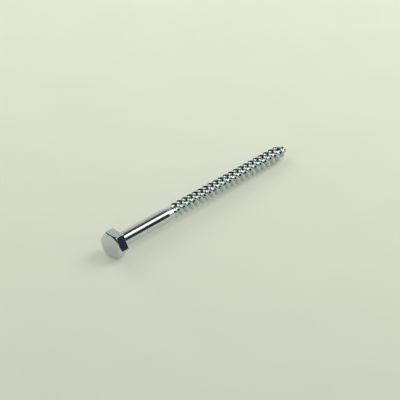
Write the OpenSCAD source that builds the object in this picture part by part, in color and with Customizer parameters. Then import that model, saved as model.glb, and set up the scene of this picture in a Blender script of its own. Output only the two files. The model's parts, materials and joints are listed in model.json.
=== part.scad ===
// Hex-head lag screw with a coarse wood thread and a threaded point.
// The screw lies as it comes to rest: one flat of the head and one thread crest touch the ground.
// Origin: on the screw's axis, in the plane of the face under the head. +X runs to the point, +Z is up.

/* [Head] */
// Width across the flats of the hexagon
head_af = 16.4; // [14:0.1:19]
// Height of the head
head_h = 6.6; // [5:0.1:9]
// Diameter of the flat circle that the chamfer leaves on the end face
face_d = 14.9; // [12:0.1:15.8]
// Slope of the domed chamfer, from the end face's circle down to a corner
chamfer_angle = 30; // [15:1:40]
// Radius of the fillet between the head and the shank
fillet_r = 0.6; // [0.2:0.1:1.2]

/* [Shank] */
// Length from under the head to the tip
length = 150; // [110:1:200]
// Diameter of the plain shank
shank_d = 9.5; // [9.1:0.1:10.5]
// Length of the plain shank, from under the head to the neck
shank_len = 40.5; // [20:0.5:50]
// Length of the neck that tapers down to the thread's root
neck_len = 4.5; // [3:0.5:12]

/* [Thread] */
// Distance between one crest and the next
pitch = 4.6; // [3.6:0.1:5.2]
// Diameter over the crests
thread_d = 9.7; // [8.6:0.1:9.9]
// Diameter at the root, between the ridges
root_d = 6.8; // [6:0.1:7.6]
// Width of the flat on a crest
crest_w = 0.3; // [0.2:0.05:0.6]
// Width of a ridge where it meets the root
ridge_w = 2.2; // [1.2:0.1:3]
// Rise of the root from its lowest line to the foot of a ridge
root_rise = 0.12; // [0:0.02:0.3]
// Turns over which the first ridge grows to its full height
run_in_turns = 0.65; // [0.4:0.05:1.5]
// Where the ridge starts around the shank, in steps of the thread's facets
start_step = 14; // [0:1:29]

/* [Point] */
// Length over which the crests come in to the tip
point_len = 8.5; // [6:0.5:14]
// Length over which the root comes in to the tip
core_point_len = 7.5; // [5:0.5:13]
// Fullness of the point: 1 is a straight cone, less is blunter
point_fullness = 0.55; // [0.45:0.05:0.9]

/* [Smoothness] */
// Facets in one turn of the thread
steps = 30; // [24:2:36]

/* [Hidden] */

round_fn = 96;                        // facets of the round forms when they are meshed
fillet_steps = 6;                     // flats that make up the fillet's arc
overlap = 1;                          // how far the shank reaches into the head
tip_gap = 0.5;                        // the helix stops this far short of the tip
neck_step = 0.05;                     // the neck's end stands this far above the root

shank_r = shank_d / 2;
thread_r = thread_d / 2;
root_r = root_d / 2;
neck_end = shank_len + neck_len;
corner_r = head_af / 2 / cos(30);
chamfer_h = (corner_r - face_d / 2) * tan(chamfer_angle);

// The helix starts inside the neck, and its ridge rises only past the neck's end.
buried_turns = 1.25;
thread_from = neck_end - buried_turns * pitch;
ridge_from_turn = 1;

// One pitch of the thread's outline: place along the pitch from 0 to 1, and share of the ridge's height.
foot_height = root_rise / (thread_r - root_r);
outline = [
    [0, 0],
    [0.5 - ridge_w / pitch / 2, foot_height],
    [0.5 - crest_w / pitch / 2, 1],
    [0.5 + crest_w / pitch / 2, 1],
    [0.5 + ridge_w / pitch / 2, foot_height]
];
lines = len(outline);
last_ring = floor(((length - tip_gap - thread_from) / pitch - outline[lines - 1][0]) * steps);

// The lowest point of the last full crest, which carries the screw's front end on the ground.
step_angle = 360 / steps;
crest_at_bottom = thread_from + pitch * (0.5 - start_step / steps);
point_from = length - point_len;
contact_s = crest_at_bottom + pitch * floor((point_from - crest_at_bottom) / pitch);
tilt = atan((head_af / 2 - thread_r) / contact_s);

function clamp01(x) = max(0, min(1, x));

// Radius of a form that stays full until it comes in to the tip over the given length.
function pointed(full_r, taper_len, s) = full_r * pow(clamp01((length - s) / taper_len), point_fullness);

function ring_s(i, j) = thread_from + pitch * (i / steps + outline[j][0]);

function ridge_share(i, j) =
    outline[j][1] * clamp01(((i / steps) - ridge_from_turn) / run_in_turns);

function ring_r(i, j) =
    let (s = ring_s(i, j), low = pointed(root_r, core_point_len, s), high = pointed(thread_r, point_len, s))
    low + (high - low) * ridge_share(i, j);

function ring_point(i, j) =
    let (r = ring_r(i, j), a = i * step_angle)
    [r * cos(a), r * sin(a), ring_s(i, j)];

// Number of a point in the list. The line past a turn's last one is the next turn's first.
function id(i, j) = j < lines ? i * lines + j : (i + steps) * lines;

// The chamfer is a shallow dome: it leaves a circle on the end face and is chamfer_h deep at a corner.
module hex_head() {
    dome_up = (pow(corner_r, 2) - pow(face_d / 2, 2) + pow(chamfer_h, 2)) / 2 / chamfer_h;
    dome_r = norm([face_d / 2, dome_up]);
    translate([0, 0, -head_h]) intersection() {
        rotate([0, 0, 30]) cylinder(r = corner_r, h = head_h, $fn = 6);
        translate([0, 0, dome_up]) sphere(r = dome_r, $fn = round_fn);
    }
}

module shank_and_neck() {
    arc = [for (n = [0:fillet_steps])
        let (a = n * 90 / fillet_steps)
        [shank_r + fillet_r * (1 - sin(a)), fillet_r * (1 - cos(a))]];
    rotate_extrude($fn = round_fn) polygon(concat(
        [[0, -overlap], [shank_r + fillet_r, -overlap]],
        arc,
        [[shank_r, shank_len], [root_r + neck_step, neck_end], [0, neck_end]]
    ));
}

module thread_and_point() {
    points = [for (i = [0:last_ring], j = [0:lines - 1]) ring_point(i, j)];
    start_centre = len(points);
    tip = start_centre + 1;
    sides = [for (i = [0:last_ring - 1], j = [0:lines - 1])
        if (j < lines - 1 || i + 1 + steps <= last_ring)
            each [[id(i, j), id(i + 1, j + 1), id(i + 1, j)], [id(i, j), id(i, j + 1), id(i + 1, j + 1)]]];
    start_loop = concat(
        [for (i = [0:steps]) id(i, 0)],
        [for (j = [lines - 1:-1:1]) id(0, j)]
    );
    end_loop = concat(
        [for (i = [last_ring - steps:last_ring]) id(i, lines - 1)],
        [for (j = [lines - 2:-1:0]) id(last_ring, j)]
    );
    start_fan = [for (n = [0:len(start_loop) - 1])
        [start_centre, start_loop[n], start_loop[(n + 1) % len(start_loop)]]];
    end_fan = [for (n = [0:len(end_loop) - 1])
        [tip, end_loop[(n + 1) % len(end_loop)], end_loop[n]]];
    polyhedron(
        points = concat(points, [[0, 0, thread_from + pitch / 2], [0, 0, length]]),
        faces = concat(sides, start_fan, end_fan),
        convexity = 10
    );
}

module lag_screw() {
    color("silver") rotate([0, 90 + tilt, 0]) union() {
        hex_head();
        shank_and_neck();
        rotate([0, 0, start_step * step_angle]) thread_and_point();
    }
}

lag_screw();
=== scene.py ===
import json
import math

import bpy
from mathutils import Matrix, Vector


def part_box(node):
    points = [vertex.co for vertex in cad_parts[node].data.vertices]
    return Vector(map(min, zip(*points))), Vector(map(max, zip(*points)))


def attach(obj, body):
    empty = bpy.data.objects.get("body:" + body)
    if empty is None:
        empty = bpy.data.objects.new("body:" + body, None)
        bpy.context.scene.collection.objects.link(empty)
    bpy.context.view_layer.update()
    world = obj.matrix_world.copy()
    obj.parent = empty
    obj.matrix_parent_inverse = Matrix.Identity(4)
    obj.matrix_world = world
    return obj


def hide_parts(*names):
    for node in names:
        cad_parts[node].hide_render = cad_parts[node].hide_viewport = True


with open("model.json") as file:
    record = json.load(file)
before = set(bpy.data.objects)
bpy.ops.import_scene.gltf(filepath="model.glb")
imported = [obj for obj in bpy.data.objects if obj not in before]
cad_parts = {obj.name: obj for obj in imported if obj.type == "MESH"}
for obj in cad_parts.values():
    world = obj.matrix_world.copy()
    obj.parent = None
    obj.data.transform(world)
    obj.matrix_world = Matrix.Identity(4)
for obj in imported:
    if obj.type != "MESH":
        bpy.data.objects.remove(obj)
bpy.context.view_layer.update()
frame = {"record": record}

mm = 0.001
sideTurn, cornerTurn = 60, 30   # degrees from one flat of the hexagon to the next, and to its corner

# The screw's own directions, taken from the frame
mounts = {mount["name"]: mount for mount in frame["record"]["mounts"]}
alongScrew = Vector(mounts["under_head_face"]["axis"]).normalized()   # from the head to the tip
sideways = Vector((0, 1, 0))
downwards = sideways.cross(alongScrew).normalized()                   # square to it, towards the ground
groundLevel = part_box("lag_screw")[0].z
print("frame read: the ground lies", round(-groundLevel / mm, 2), "mm under the screw's origin")


def clamp(x, low=0.0, high=1.0):
    return max(low, min(high, x))


def smoothStep(x):
    x = clamp(x)
    return x * x * (3 - 2 * x)


def softMin(a, b, width):
    mix = clamp(0.5 + 0.5 * (b - a) / width)
    return b + (a - b) * mix - width * mix * (1 - mix)


# The screw, all in millimetres unless a note says otherwise
screw = {
    "acrossFlats": 16.4,
    "headHeight": 6.6,
    "faceAcross": 14.9,        # circle that the chamfer leaves on the end face
    "chamferSlope": 30,        # degrees
    "cornerRound": 0.35,
    "faceEdgeRound": 0.25,
    "flatEdgeRound": 0.2,
    "underEdgeRound": 0.15,
    "domeRound": 0.05,
    "faceDish": 0.03,          # the end face is a little hollow
    "filletRound": 0.6,
    "length": 150.0,           # from under the head to the tip
    "shankAcross": 2 * mounts["shank"]["dims"]["r_mm"],
    "shankEnd": 40.4,
    "neckEnd": 48.4,
    "neckSoftness": 0.6,       # length over which the shank's edge turns into the neck
    "pitch": 4.6,
    "crestAcross": 9.7,
    "rootAcross": 6.8,
    "crestWidth": 0.68,
    "slopeWidth": 1.5,         # from a crest's edge down to the root
    "slopeHollow": 1.7,        # 1 is a straight slope, more is a hollow one
    "crestSoftness": 0.10,     # share of the ridge's height
    "crestAtBottom": 39.4033,  # a crest line passes the underside here
    "ridgeFrom": 1.19,         # turns after that line, where the ridge starts
    "ridgeRunIn": 0.95,        # turns over which it grows
    "pointLength": 8.5,
    "corePointLength": 7.5,
    "pointFullness": 0.55,     # 1 is a straight cone, less is blunter
    "skin": 0.004,             # the whole surface is drawn in by this much
}
# Where the lines of the screw's mesh run
net = {
    "threadRows": [0, 0.07, 0.14, 0.21, 0.27, 0.325, 0.37, 0.405, 0.435, 0.465, 0.5,
                   0.535, 0.565, 0.6, 0.645, 0.7, 0.76, 0.84, 0.92],   # shares of one pitch, the crest at 0.5
    "cornerOffsets": [-26, -22, -18, -14, -10.5, -7.5, -5, -3, -1.7, -1.07, -0.72, -0.36,
                      0, 0.36, 0.72, 1.07, 1.7, 3, 5, 7.5, 10.5, 14, 18, 22, 26, 30],   # degrees
    "shankRows": [1.5, 3, 6, 10, 15, 20, 25, 29, 32.5, 35, 36.6],   # millimetres from the head
    "faceRings": [0.3, 0.6, 0.8],   # shares of the radius of the end face
    "faceEdgeRing": 0.9,            # the same, for the last ring before the rounded edge
    "roundSteps": 4,
    "filletSteps": 8,
    "tipSqueeze": 1.6,              # millimetres over which the last turns close up at the tip
    "tipTurns": 2,                  # turns added there
}
screwTurns = [0.0] + [cornerTurn + sideTurn * side + offset
                      for side in range(6) for offset in net["cornerOffsets"]][:-1]
columns = len(screwTurns)


def place(along, radius, turn):
    angle = math.radians(turn)
    outwards = downwards * math.cos(angle) + sideways * math.sin(angle)
    return (alongScrew * along + outwards * (radius - screw["skin"])) * mm


def hexRadius(turn):
    half, rounding = screw["acrossFlats"] / 2, screw["cornerRound"]
    fromFlat = abs((turn + cornerTurn) % sideTurn - cornerTurn)
    centre = (half - rounding) / math.cos(math.radians(cornerTurn))
    if fromFlat <= math.degrees(math.atan(centre / 2 / half)):
        return half / math.cos(math.radians(fromFlat))
    fromCorner = math.radians(cornerTurn - fromFlat)
    return centre * math.cos(fromCorner) + math.sqrt(rounding ** 2 - (centre * math.sin(fromCorner)) ** 2)


def roundedPath(corners, rounds, steps):
    path = [corners[0]]
    for before, corner, after, size in zip(corners, corners[1:], corners[2:], rounds):
        corner = Vector(corner)
        back = (Vector(before) - corner).normalized() * size
        ahead = (Vector(after) - corner).normalized() * size
        for n in range(steps + 1):
            t = n / steps
            path.append(tuple(corner + back * (1 - t) ** 2 + ahead * t ** 2))
    path.append(corners[-1])
    return path


# One line of the head from the end face round to the shank, as (along, radius)
def headColumn(turn):
    height, faceRadius = screw["headHeight"], screw["faceAcross"] / 2
    corner = screw["acrossFlats"] / 2 / math.cos(math.radians(cornerTurn))
    chamferDepth = (corner - faceRadius) * math.tan(math.radians(screw["chamferSlope"]))
    domeUp = (corner ** 2 - faceRadius ** 2 + chamferDepth ** 2) / 2 / chamferDepth
    domeRadius = math.hypot(faceRadius, domeUp)

    def dome(radius):
        return -height + domeUp - math.sqrt(domeRadius ** 2 - radius ** 2)

    side = hexRadius(turn)
    middle = (faceRadius + side) / 2
    filletRadius = screw["shankAcross"] / 2 + screw["filletRound"]
    points = [(-height + screw["faceDish"] * (1 - share ** 2), faceRadius * share)
              for share in net["faceRings"]]
    points += roundedPath(
        [(-height, faceRadius * net["faceEdgeRing"]), (-height, faceRadius), (dome(middle), middle),
         (dome(side), side), (0, side), (0, filletRadius)],
        [screw["faceEdgeRound"], screw["domeRound"], screw["flatEdgeRound"], screw["underEdgeRound"]],
        net["roundSteps"])
    for n in range(1, net["filletSteps"] + 1):
        angle = math.radians(90 * n / net["filletSteps"])
        points.append((screw["filletRound"] * (1 - math.cos(angle)),
                       filletRadius - screw["filletRound"] * math.sin(angle)))
    return points


def pointed(fullRadius, taperLength, along):
    return fullRadius * clamp((screw["length"] - along) / taperLength) ** screw["pointFullness"]


def coreRadius(along):
    root = pointed(screw["rootAcross"] / 2, screw["corePointLength"], along)
    down = (screw["shankAcross"] - screw["rootAcross"]) / 2 / (screw["neckEnd"] - screw["shankEnd"])
    neck = softMin(0, (screw["shankEnd"] - along) * down, screw["neckSoftness"] * down)
    return max(root, screw["shankAcross"] / 2 + neck)


# Height of the ridge over the root, from 0 to 1, across one pitch
def ridgeShare(across):
    fromCrest = abs(across - 0.5) * screw["pitch"] - screw["crestWidth"] / 2
    slope = max(0, 1 - fromCrest / screw["slopeWidth"])
    return softMin(1, slope ** screw["slopeHollow"], screw["crestSoftness"])


def ridgeGrown(turns):
    return smoothStep((turns - screw["ridgeFrom"]) / screw["ridgeRunIn"])


def threadRadius(turns, across, along):
    core = coreRadius(along)
    crest = pointed(screw["crestAcross"] / 2, screw["pointLength"], along)
    atTip = smoothStep((screw["length"] - along) / (2 * net["tipSqueeze"]))
    return core + max(0, crest - core) * ridgeShare(across) * ridgeGrown(turns) * atTip


# The last turns close up towards the tip instead of running past it
def squeezed(along):
    length, squeeze = screw["length"], net["tipSqueeze"]
    past = along - (length - squeeze)
    return along if past < 0 else length - squeeze * math.exp(-past / squeeze)


def buildScrew():
    points, faces, depths = [], [], []

    def addPoint(along, radius, turn, depth=0.0):
        points.append(place(along, max(radius, screw["skin"]), turn))
        depths.append(depth)
        return len(points) - 1

    # The head and the plain shank, ring by ring
    headColumns = [headColumn(turn) for turn in screwTurns]
    rings = [[addPoint(*headColumns[i][row], screwTurns[i]) for i in range(columns)]
             for row in range(len(headColumns[0]))]
    rings += [[addPoint(along, coreRadius(along), turn) for turn in screwTurns] for along in net["shankRows"]]
    faceCentre = addPoint(-screw["headHeight"] + screw["faceDish"], 0, 0)
    for i in range(columns):
        k = (i + 1) % columns
        faces.append((faceCentre, rings[0][i], rings[0][k]))
        faces += [(lower[i], upper[i], upper[k], lower[k]) for lower, upper in zip(rings, rings[1:])]

    # The thread, in rows that wind round: a turn's last column runs into the next turn's first
    rows, helix = len(net["threadRows"]), []
    turnsInAll = int((screw["length"] - screw["crestAtBottom"]) / screw["pitch"]) + net["tipTurns"]
    height = (screw["crestAcross"] - screw["rootAcross"]) / 2
    for n in range(turnsInAll):
        for turn in screwTurns:
            turns = n + turn / 360
            column = []
            for across in net["threadRows"]:
                along = squeezed(screw["crestAtBottom"] + screw["pitch"] * (turns + across - 0.5))
                radius = threadRadius(turns, across, along)
                depth = clamp((screw["crestAcross"] / 2 - radius) / height) * ridgeGrown(turns)
                column.append(addPoint(along, radius, turn, depth))
            helix.append(column)
    last = len(helix) - 1

    def helixPoint(i, j):
        return helix[i][j] if j < rows else helix[i + columns][j - rows]

    for i in range(last):
        for j in range(rows):
            if j < rows - 1 or i + 1 + columns <= last:
                faces.append((helixPoint(i, j), helixPoint(i, j + 1),
                              helixPoint(i + 1, j + 1), helixPoint(i + 1, j)))

    # The last plain ring meets the first turn
    ring = rings[-1]
    for i in range(columns - 1):
        faces.append((ring[i], helix[i][0], helix[i + 1][0], ring[i + 1]))
    faces.append([ring[-1], helix[columns - 1][0], helix[columns][0]] + helix[0][::-1] + [ring[0]])

    # The tip closes the last turn
    tip = addPoint(screw["length"], 0, 0)
    closing = [helix[i][rows - 1] for i in range(last - columns, last + 1)] + helix[last][rows - 2::-1]
    faces += [(tip, b, a) for a, b in zip(closing, closing[1:] + closing[:1])]

    data = bpy.data.meshes.new("lagScrew")
    data.from_pydata(points, [], [face[::-1] for face in faces])   # turned to face outwards
    data.attributes.new("threadDepth", "FLOAT", "POINT").data.foreach_set("value", depths)
    data.polygons.foreach_set("use_smooth", [True] * len(data.polygons))
    data.update()
    return data


# Materials
def newMaterial(name):
    material = bpy.data.materials.new(name)
    material.use_nodes = True
    return material, material.node_tree, material.node_tree.nodes["Principled BSDF"]


def addNode(tree, kind, inputs, **settings):
    node = tree.nodes.new(kind)
    for name, value in settings.items():
        setattr(node, name, value)
    for name, value in inputs.items():
        if isinstance(value, bpy.types.NodeSocket):
            tree.links.new(value, node.inputs[name])
        else:
            node.inputs[name].default_value = value
    return node


zinc = {
    "cool": (0.60, 0.665, 0.71, 1),
    "warm": (0.68, 0.71, 0.73, 1),
    "deep": (0.33, 0.42, 0.44, 1),     # painted shade in the bottom of the thread
    "deepFrom": (0.3, 1.1),            # depths between which the painted shade takes over, 1 is the root
    "clouds": 160,                     # a metre
    "cloudRange": (0.3, 0.7),
    "roughness": (0.07, 0.13),
    "specks": 2400,                    # a metre
    "grain": 0.05,
    "grainHeight": 0.0002,             # metres
    "marks": (1300, 110, 110),         # a metre, close along the screw so that they run round it
    "marksHeight": 0.00008,            # metres
}


def zincPlating():
    material, tree, shader = newMaterial("zincPlating")
    where = addNode(tree, "ShaderNodeTexCoord", {}).outputs["Object"]

    def noise(at, scale, detail):
        node = addNode(tree, "ShaderNodeTexNoise", {"Vector": at, "Scale": scale, "Detail": detail})
        return node.outputs["Fac"]

    cloud = noise(where, zinc["clouds"], 3)
    speck = noise(where, zinc["specks"], 4)
    depth = addNode(tree, "ShaderNodeAttribute", {}, attribute_name="threadDepth").outputs["Fac"]
    tint = addNode(tree, "ShaderNodeMix", {0: cloud, 6: zinc["cool"], 7: zinc["warm"]}, data_type="RGBA")
    # Painted shade: the colour darkens towards the bottom of the thread
    paintedShadeMask = addNode(tree, "ShaderNodeMapRange", {"Value": depth, "From Min": zinc["deepFrom"][0],
                                                  "From Max": zinc["deepFrom"][1]})
    colour = addNode(tree, "ShaderNodeMix", {0: paintedShadeMask.outputs[0], 6: tint.outputs[2], 7: zinc["deep"]},
                     data_type="RGBA")
    dull = addNode(tree, "ShaderNodeMapRange", {
        "Value": cloud, "From Min": zinc["cloudRange"][0], "From Max": zinc["cloudRange"][1],
        "To Min": zinc["roughness"][0], "To Max": zinc["roughness"][1],
    })
    stretched = addNode(tree, "ShaderNodeVectorMath", {0: where, 1: zinc["marks"]}, operation="MULTIPLY")
    marks = noise(stretched.outputs[0], 1, 3)
    marked = addNode(tree, "ShaderNodeBump", {"Height": marks, "Distance": zinc["marksHeight"]}).outputs[0]
    bump = addNode(tree, "ShaderNodeBump", {"Height": speck, "Strength": zinc["grain"],
                                            "Distance": zinc["grainHeight"], "Normal": marked})
    tree.links.new(colour.outputs[2], shader.inputs["Base Color"])
    tree.links.new(dull.outputs[0], shader.inputs["Roughness"])
    tree.links.new(bump.outputs[0], shader.inputs["Normal"])
    shader.inputs["Metallic"].default_value = 1.0
    return material


lagScrew = bpy.data.objects.new("lagScrew", buildScrew())
bpy.context.scene.collection.objects.link(lagScrew)
lagScrew.modifiers.new("evenShading", "WEIGHTED_NORMAL")
lagScrew.data.materials.append(zincPlating())
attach(lagScrew, "root")
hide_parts("lag_screw")
print("screw built:", len(lagScrew.data.vertices), "points,", len(lagScrew.data.polygons), "faces")

# The camera looks down on the screw from the head's side
view = {
    "turn": 44.287,            # degrees from +X to the viewing direction, seen from above
    "dip": 34.846,             # degrees under the horizon
    "distance": 1.730729,      # metres along the viewing direction to the screw's origin
    "originRight": -0.049886,  # metres from the view's middle to the screw's origin
    "originUp": -0.025633,
    "lens": 256.19,            # millimetres
    "sensor": 36,              # millimetres
    "clipEnd": 50,             # metres
}


# 1 for what the camera, the metal and glass see, 0 for the light that falls on a dull surface
def seenRays(tree):
    rays = addNode(tree, "ShaderNodeLightPath", {}).outputs
    seen = addNode(tree, "ShaderNodeMath", {0: rays["Is Camera Ray"], 1: rays["Is Glossy Ray"]},
                   operation="MAXIMUM")
    return addNode(tree, "ShaderNodeMath", {0: seen.outputs[0], 1: rays["Is Transmission Ray"]},
                   operation="MAXIMUM").outputs[0]


def pointAt(turn, rise, distance=1.0):
    turn, rise = math.radians(turn), math.radians(rise)
    level = math.cos(rise)
    return Vector((math.cos(turn) * level, math.sin(turn) * level, math.sin(rise))) * distance


def addCamera():
    ahead = pointAt(view["turn"], -view["dip"])
    right = ahead.cross(Vector((0, 0, 1))).normalized()
    up = right.cross(ahead)
    camera = bpy.data.objects.new("camera", bpy.data.cameras.new("camera"))
    camera.data.lens = view["lens"]
    camera.data.sensor_width = view["sensor"]
    camera.data.clip_end = view["clipEnd"]
    camera.matrix_world = Matrix.Translation(
        -(right * view["originRight"] + up * view["originUp"] + ahead * view["distance"])
    ) @ Matrix((right, up, -ahead)).transposed().to_4x4()
    bpy.context.scene.collection.objects.link(camera)
    bpy.context.scene.camera = camera


addCamera()

# The studio
studio = {
    "ground": 4.0,             # metres from the middle to an edge
    # Painted light falloff: the ground's colour is darker near the view and paler far off
    "near": (0.605, 0.627, 0.540, 1),
    "far": (0.752, 0.782, 0.672, 1),
    "nearAt": -0.22,           # metres along the view, where the ground has its near colour
    "farAt": 0.32,
    "air": (0.80, 0.83, 0.74, 1),
    "airLight": 0.70,
    "paleShare": 0.3,          # share of the ground's colour that no shadow reaches
    "mottle": 25,              # a metre
    "mottleRange": (0.97, 1.03),
    "groundRoughness": 0.8,
    "groundShine": 0.1,
    "lampColour": (1, 1, 0.98),
    "screenDistance": 3.0,
    "screenGrey": (0.030, 0.036, 0.031, 1),
    "screenRise": (-4, 89.5),  # degrees
    "screenSteps": (72, 24),   # round and upwards
}
softboxes = {
    "keySoftbox": {"turn": -20, "rise": 42, "distance": 1.5, "size": (0.9, 0.9), "radiance": 3.8},
    "sideSoftbox": {"turn": 80, "rise": 30, "distance": 1.6, "size": (0.9, 0.9), "radiance": 3.0},
}
# What the metal shows all round: soft panels in a dark room, by turn and rise in degrees. Later ones lie over
# earlier ones, and each softness is across and upwards.
panels = [
    {"turn": (-56, -50), "rise": (9, 15), "softness": (3, 3), "colour": (0.026, 0.034, 0.080, 1)},
    {"turn": (-128, -12), "rise": (36, 59), "softness": (7, 7), "colour": (1.6, 1.6, 1.42, 1)},
    {"turn": (-130, -50), "rise": (62, 86), "softness": (10, 10), "colour": (0.70, 0.70, 0.63, 1)},
    {"turn": (-29, -4), "rise": (-9, 45), "softness": (7, 7), "colour": (3.8, 3.8, 3.4, 1)},
    {"turn": (-8, 40), "rise": (-20, 42), "softness": (8, 28), "colour": (0.40, 0.41, 0.37, 1)},
    {"turn": (34, 68), "rise": (-20, 43), "softness": (10, 28), "colour": (0.66, 0.68, 0.60, 1)},
    {"turn": (-8, 8), "rise": (-9, 22), "softness": (7, 7), "colour": (1.50, 1.50, 1.35, 1)},
    {"turn": (62, 88), "rise": (-9, 32), "softness": (8, 8), "colour": (2.8, 2.8, 2.5, 1)},
    {"turn": (76, 105), "rise": (14, 50), "softness": (8, 8), "colour": (2.0, 2.0, 1.8, 1)},
    {"turn": (95, 135), "rise": (42, 60), "softness": (8, 8), "colour": (0.90, 0.90, 0.81, 1)},
    {"turn": (-143, -124), "rise": (-9, 30), "softness": (8, 8), "colour": (1.10, 1.10, 0.99, 1)},
    {"turn": (172, 205), "rise": (18, 44), "softness": (8, 8), "colour": (1.20, 1.20, 1.08, 1)},
]


def groundPaper():
    material, tree, shader = newMaterial("groundPaper")
    where = addNode(tree, "ShaderNodeTexCoord", {}).outputs["Object"]
    ahead = pointAt(view["turn"], 0)
    depth = addNode(tree, "ShaderNodeVectorMath", {0: where, 1: ahead}, operation="DOT_PRODUCT")
    # Painted light falloff along the view, from the near colour to the far one
    paintedLightFalloff = addNode(tree, "ShaderNodeMapRange", {"Value": depth.outputs["Value"], "From Min": studio["nearAt"],
                                                "From Max": studio["farAt"]})
    mottle = addNode(tree, "ShaderNodeTexNoise", {"Vector": where, "Scale": studio["mottle"], "Detail": 4})
    paper = addNode(tree, "ShaderNodeMix", {0: paintedLightFalloff.outputs[0], 6: studio["near"], 7: studio["far"]},
                    data_type="RGBA")
    uneven = addNode(tree, "ShaderNodeMapRange", {
        "Value": mottle.outputs["Fac"],
        "To Min": studio["mottleRange"][0], "To Max": studio["mottleRange"][1],
    })
    colour = addNode(tree, "ShaderNodeVectorMath", {0: paper.outputs[2], 1: uneven.outputs[0]},
                     operation="MULTIPLY")
    lit = addNode(tree, "ShaderNodeVectorMath", {0: colour.outputs[0], "Scale": 1 - studio["paleShare"]},
                  operation="SCALE")
    pale = addNode(tree, "ShaderNodeMath", {0: seenRays(tree), 1: studio["paleShare"]}, operation="MULTIPLY")
    tree.links.new(lit.outputs[0], shader.inputs["Base Color"])
    tree.links.new(colour.outputs[0], shader.inputs["Emission Color"])
    tree.links.new(pale.outputs[0], shader.inputs["Emission Strength"])
    shader.inputs["Roughness"].default_value = studio["groundRoughness"]
    shader.inputs["Specular IOR Level"].default_value = studio["groundShine"]
    return material


def stagePiece(name, points, faces, material):
    data = bpy.data.meshes.new(name)
    data.from_pydata(points, [], faces)
    data.materials.append(material)
    piece = bpy.data.objects.new(name, data)
    bpy.context.scene.collection.objects.link(piece)
    return piece


def addGround():
    edge = studio["ground"]
    corners = [(x * edge, y * edge, groundLevel) for x, y in ((-1, -1), (1, -1), (1, 1), (-1, 1))]
    stagePiece("ground", corners, [(0, 1, 2, 3)], groundPaper())


def degreesOf(tree, operation, *values):
    angle = addNode(tree, "ShaderNodeMath", dict(enumerate(values)), operation=operation).outputs[0]
    return addNode(tree, "ShaderNodeMath", {0: angle}, operation="DEGREES").outputs[0]


# 1 inside a range of angles and 0 outside, with soft edges
def softRange(tree, degrees, low, high, softness, wraps):
    away = addNode(tree, "ShaderNodeMath", {0: degrees, 1: (low + high) / 2}, operation="SUBTRACT").outputs[0]
    if wraps:
        away = addNode(tree, "ShaderNodeMath", {0: away, 1: 180, 2: -180}, operation="WRAP").outputs[0]
    away = addNode(tree, "ShaderNodeMath", {0: away}, operation="ABSOLUTE").outputs[0]
    half = (high - low) / 2
    return addNode(tree, "ShaderNodeMapRange", {
        "Value": away, "From Min": half + softness / 2, "From Max": half - softness / 2,
    }, interpolation_type="SMOOTHSTEP").outputs[0]


def roomScreen():
    material = bpy.data.materials.new("roomScreen")
    material.use_nodes = True
    tree = material.node_tree
    tree.nodes.clear()
    where = addNode(tree, "ShaderNodeTexCoord", {}).outputs["Object"]
    axes = addNode(tree, "ShaderNodeSeparateXYZ", {0: where}).outputs
    turn = degreesOf(tree, "ARCTAN2", axes[1], axes[0])
    height = addNode(tree, "ShaderNodeMath", {0: axes[2], 1: studio["screenDistance"]}, operation="DIVIDE")
    rise = degreesOf(tree, "ARCSINE", height.outputs[0])
    colour = studio["screenGrey"]
    for panel in panels:
        across = softRange(tree, turn, *panel["turn"], panel["softness"][0], wraps=True)
        upwards = softRange(tree, rise, *panel["rise"], panel["softness"][1], wraps=False)
        inside = addNode(tree, "ShaderNodeMath", {0: across, 1: upwards}, operation="MULTIPLY").outputs[0]
        colour = addNode(tree, "ShaderNodeMix", {0: inside, 6: colour, 7: panel["colour"]},
                         data_type="RGBA").outputs[2]
    glow = addNode(tree, "ShaderNodeEmission", {"Color": colour})
    output = addNode(tree, "ShaderNodeOutputMaterial", {})
    tree.links.new(glow.outputs[0], output.inputs["Surface"])
    return material


# A round screen far out, which shows only in the metal
def addScreen():
    turnSteps, riseSteps = studio["screenSteps"]
    lowest, highest = studio["screenRise"]
    points = [pointAt(360 * i / turnSteps, lowest + (highest - lowest) * j / riseSteps,
                      studio["screenDistance"])
              for j in range(riseSteps + 1) for i in range(turnSteps)]
    faces = [(j * turnSteps + i, j * turnSteps + (i + 1) % turnSteps,
              (j + 1) * turnSteps + (i + 1) % turnSteps, (j + 1) * turnSteps + i)
             for j in range(riseSteps) for i in range(turnSteps)]
    screen = stagePiece("roomScreen", points, faces, roomScreen())
    screen.visible_camera = screen.visible_diffuse = screen.visible_shadow = False


def addSoftboxes():
    for name, box in softboxes.items():
        lamp = bpy.data.lights.new(name, "AREA")
        lamp.shape = "RECTANGLE"
        lamp.size, lamp.size_y = box["size"]
        lamp.energy = box["radiance"] * math.pi * lamp.size * lamp.size_y
        lamp.color = studio["lampColour"]
        at = pointAt(box["turn"], box["rise"], box["distance"])
        holder = bpy.data.objects.new(name, lamp)
        holder.location = at
        holder.rotation_euler = at.to_track_quat("Z", "Y").to_euler()
        holder.visible_glossy = False
        bpy.context.scene.collection.objects.link(holder)


# The air round the ground is pale where it shows, and lights dull surfaces less strongly
def addAir():
    world = bpy.data.worlds.new("air")
    bpy.context.scene.world = world
    world.use_nodes = True
    tree = world.node_tree
    background = tree.nodes["Background"]
    background.inputs["Color"].default_value = studio["air"]
    strength = addNode(tree, "ShaderNodeMapRange", {"Value": seenRays(tree), "To Min": studio["airLight"]})
    tree.links.new(strength.outputs[0], background.inputs["Strength"])


addGround()
addScreen()
addSoftboxes()
addAir()
bpy.context.scene.view_settings.view_transform = "Standard"
print("studio ready:", len(softboxes), "softboxes,", len(panels), "panels round the screw")
